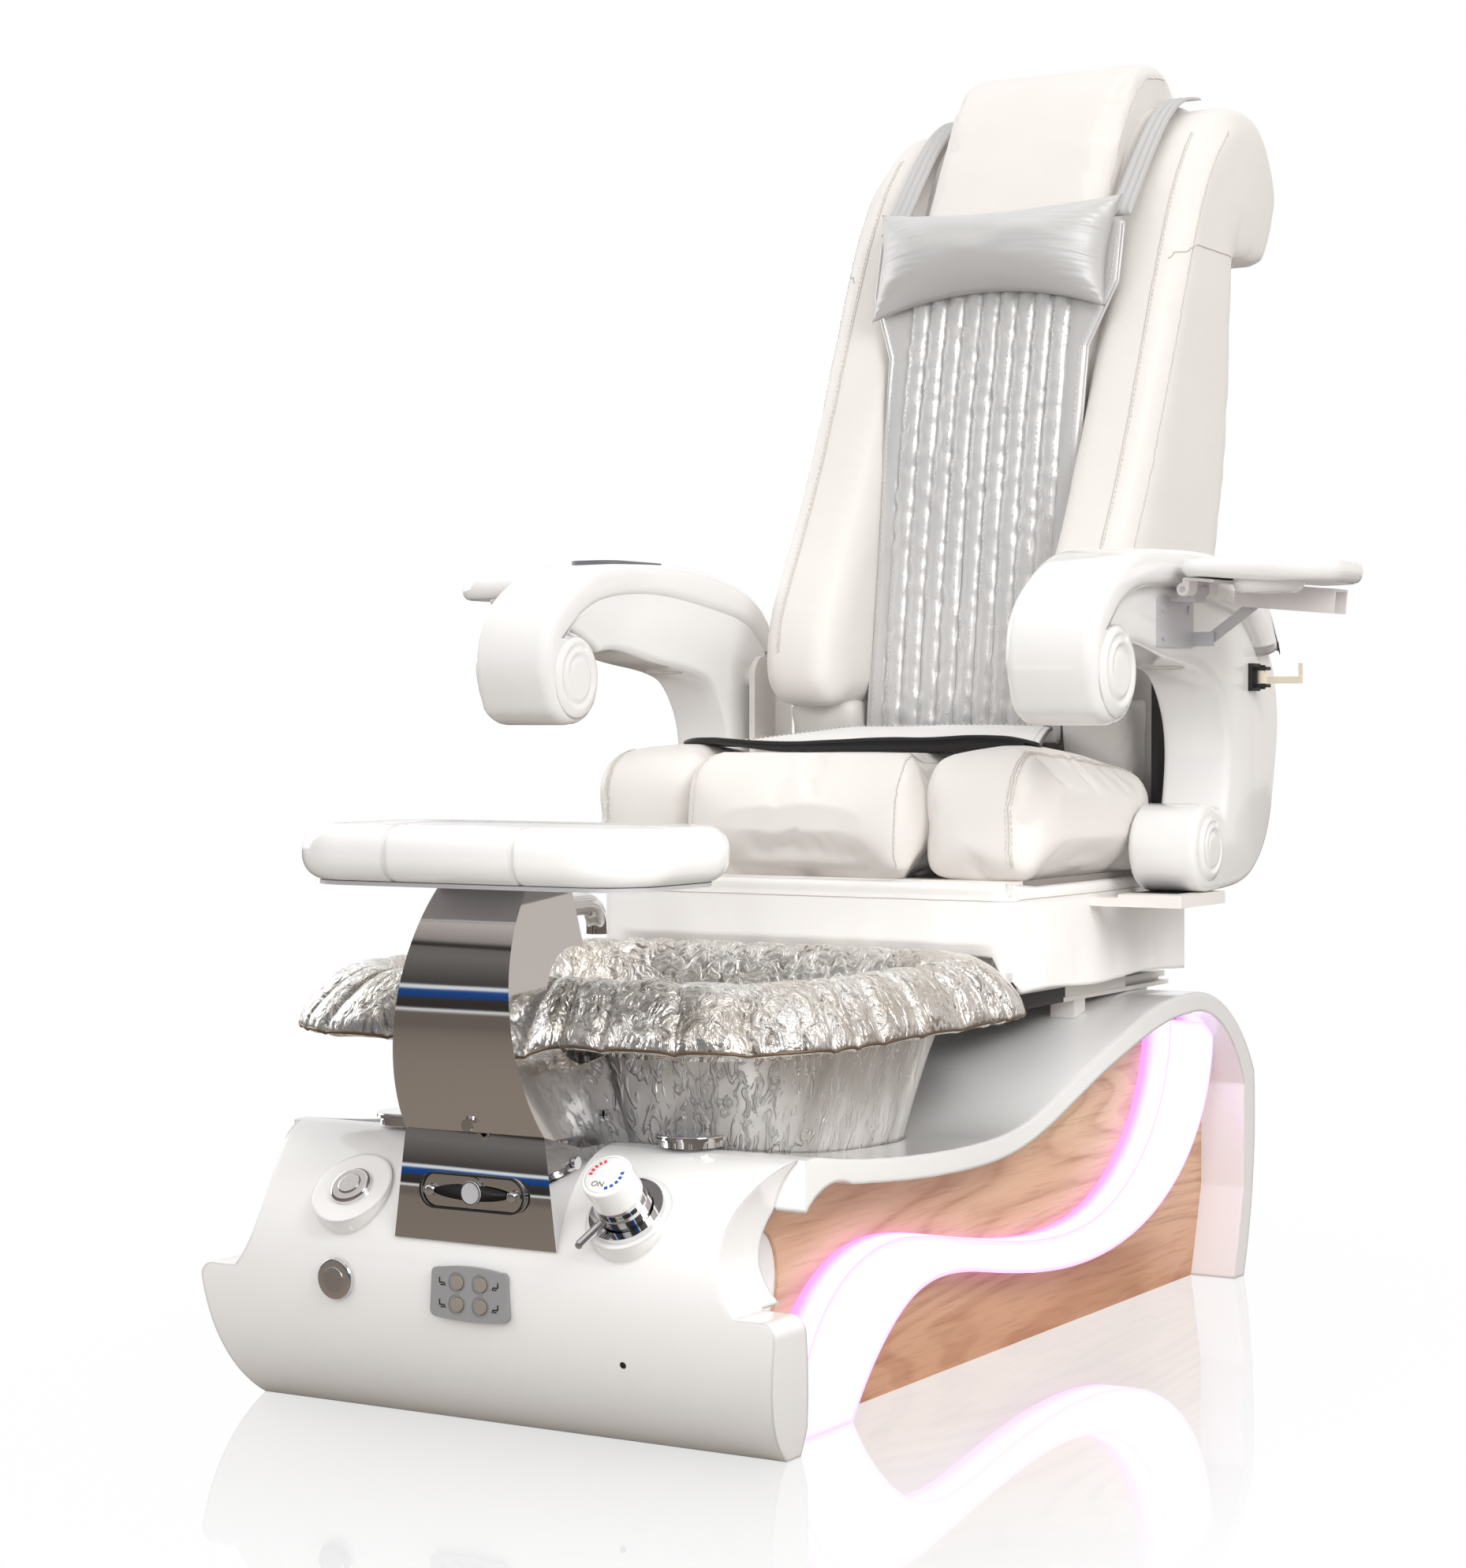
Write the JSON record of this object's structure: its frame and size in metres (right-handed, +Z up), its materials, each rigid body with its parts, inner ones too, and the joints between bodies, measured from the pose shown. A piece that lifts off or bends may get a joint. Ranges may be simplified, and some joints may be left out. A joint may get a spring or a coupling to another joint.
{
  "type": "pedicure spa chair",
  "caption": "Pedicure spa chair: moulded base with foot bowl, chrome footrest post, mixer and lit side bands, under a sliding, reclining massage seat with lifting arms and folding trays.",
  "frame": {"origin": "middle of the base's footprint, on the floor", "axes": "+Z up, -Y towards the footrest (front), +X to the right as seen from the front"},
  "size_m": [1.1394, 1.5425, 1.5191],
  "materials": {
    "gelcoat": "gloss",
    "frame_black": "satin",
    "oak": "satin",
    "diffuser": "gloss",
    "bowl_silver": "metallic",
    "chrome": "polished",
    "pump_grey": "satin",
    "key_grey": "satin",
    "panel_grey": "satin",
    "ivory_leather": "satin",
    "silver_leather": "pearl",
    "skirt_cloth": "satin",
    "steel": "satin",
    "hook_beige": "satin"
  },
  "bodies": {
    "base": {"base_shell": "gelcoat", "base_frame": "frame_black", "wood_panels": "oak", "led_strips": "diffuser", "grip_inserts": "gelcoat", "foot_bowl": "bowl_silver", "bowl_fittings": "chrome", "water_pump": "pump_grey", "footrest_bracket": "chrome", "footrest_post": "chrome", "footrest_plate": "steel", "footrest_pad": "gelcoat", "faucet_spout": "chrome", "valve_body": "chrome", "button_rings": "chrome", "control_panel": "panel_grey", "slide_rails": "frame_black", "slide_actuator": "pump_grey", "name_plate": "chrome", "bracket_bolts": "chrome"},
    "thermostat_knob": {"valve_knob": "chrome"},
    "flow_lever": {"valve_lever": "chrome"},
    "jet_push": {"jet_button": "chrome"},
    "light_push": {"light_button": "chrome"},
    "forward_push": {"seat_forward_key": "key_grey"},
    "recline_push": {"recline_key": "key_grey"},
    "back_push": {"seat_back_key": "key_grey"},
    "upright_push": {"upright_key": "key_grey"},
    "drain_turn": {"drain_knob": "chrome"},
    "diverter_turn": {"diverter_knob": "chrome"},
    "seat": {"carriage_frame": "frame_black", "recline_drives": "frame_black", "seat_skirt": "skirt_cloth", "seat_cushion": "ivory_leather", "seat_bolsters": "ivory_leather", "seat_flap": "silver_leather", "slide_rod": "steel"},
    "backrest": {"back_shell": "ivory_leather", "back_wings": "ivory_leather", "back_cushion": "ivory_leather", "head_cushion": "ivory_leather", "back_cover": "silver_leather", "neck_pillow": "silver_leather", "massage_guides": "frame_black"},
    "massage": {"massage_carriage": "pump_grey"},
    "right_arm": {"arm_body_right": "gelcoat", "arm_cap_right": "gelcoat", "tray_bracket_right": "steel", "hook_mount": "frame_black"},
    "left_arm": {"arm_body_left": "gelcoat", "arm_cap_left": "gelcoat", "tray_bracket_left": "steel", "remote_pad": "pump_grey"},
    "right_tray": {"tray_right": "gelcoat", "tray_plate_right": "steel"},
    "left_tray": {"tray_left": "gelcoat", "tray_plate_left": "steel"},
    "right_strut": {"tray_strut_right": "steel"},
    "left_strut": {"tray_strut_left": "steel"},
    "hook": {"swing_hook": "hook_beige"}
  },
  "joints": [
    {"name": "seat_slide", "type": "slide", "parent": "base", "child": "seat", "axis": [0, 1, 0], "range_m": [0, 0.11]},
    {"name": "recline", "type": "hinge", "parent": "seat", "child": "backrest", "pos_m": [0, 0.47, 0.6], "axis": [-1, 0, 0], "range_deg": [0, 45]},
    {"name": "massage_lift", "type": "slide", "parent": "backrest", "child": "massage", "axis": [0, 0.1644, 0.9864], "range_m": [0, 0.3]},
    {"name": "right_arm_lift", "type": "hinge", "parent": "seat", "child": "right_arm", "pos_m": [0.31, 0.385, 0.735], "axis": [-1, 0, 0], "range_deg": [0, 60]},
    {"name": "left_arm_lift", "type": "hinge", "parent": "seat", "child": "left_arm", "pos_m": [-0.31, 0.385, 0.735], "axis": [-1, 0, 0], "range_deg": [0, 60]},
    {"name": "right_tray_fold", "type": "hinge", "parent": "right_arm", "child": "right_tray", "pos_m": [0.401, 0.17, 0.822], "axis": [0, 1, 0], "range_deg": [0, 85]},
    {"name": "left_tray_fold", "type": "hinge", "parent": "left_arm", "child": "left_tray", "pos_m": [-0.401, 0.17, 0.822], "axis": [0, -1, 0], "range_deg": [0, 85]},
    {"name": "right_strut_turn", "type": "hinge", "parent": "right_arm", "child": "right_strut", "pos_m": [0.393, 0.23, 0.77], "axis": [0, 1, 0], "range_deg": [0, 127]},
    {"name": "left_strut_turn", "type": "hinge", "parent": "left_arm", "child": "left_strut", "pos_m": [-0.393, 0.23, 0.77], "axis": [0, -1, 0], "range_deg": [0, 127]},
    {"name": "hook_swing", "type": "hinge", "parent": "right_arm", "child": "hook", "pos_m": [0.3852, 0.412, 0.73], "axis": [0, 0, 1], "range_deg": [-85, 85]},
    {"name": "thermostat_turn", "type": "hinge", "parent": "base", "child": "thermostat_knob", "pos_m": [0.16, -0.63228, 0.24825], "axis": [0, -0.682, 0.7314], "range_deg": [-135, 135]},
    {"name": "flow_turn", "type": "hinge", "parent": "base", "child": "flow_lever", "pos_m": [0.16, -0.61864, 0.23363], "axis": [0, -0.682, 0.7314], "range_deg": [0, 90]},
    {"name": "jet_press", "type": "slide", "parent": "base", "child": "jet_push", "axis": [0, 0.682, -0.7314], "range_m": [0, 0.003], "stiffness_N_per_m": 600},
    {"name": "light_press", "type": "slide", "parent": "base", "child": "light_push", "axis": [0, 1, 0], "range_m": [0, 0.003], "stiffness_N_per_m": 600},
    {"name": "forward_press", "type": "slide", "parent": "base", "child": "forward_push", "axis": [0, 1, 0], "range_m": [0, 0.0012], "stiffness_N_per_m": 600},
    {"name": "recline_key_press", "type": "slide", "parent": "base", "child": "recline_push", "axis": [0, 1, 0], "range_m": [0, 0.0012], "stiffness_N_per_m": 600},
    {"name": "back_press", "type": "slide", "parent": "base", "child": "back_push", "axis": [0, 1, 0], "range_m": [0, 0.0012], "stiffness_N_per_m": 600},
    {"name": "upright_press", "type": "slide", "parent": "base", "child": "upright_push", "axis": [0, 1, 0], "range_m": [0, 0.0012], "stiffness_N_per_m": 600},
    {"name": "drain_turn_joint", "type": "hinge", "parent": "base", "child": "drain_turn", "pos_m": [0.165, -0.505, 0.28], "axis": [0, 0, 1], "range_deg": [0, 90]},
    {"name": "diverter_turn_joint", "type": "hinge", "parent": "base", "child": "diverter_turn", "pos_m": [-0.165, -0.505, 0.28], "axis": [0, 0, 1], "range_deg": [0, 180]}
  ],
  "couplings": [
    {"joint": "right_strut_turn", "follows": "right_tray_fold", "ratio": 1.483},
    {"joint": "left_strut_turn", "follows": "left_tray_fold", "ratio": 1.483}
  ]
}
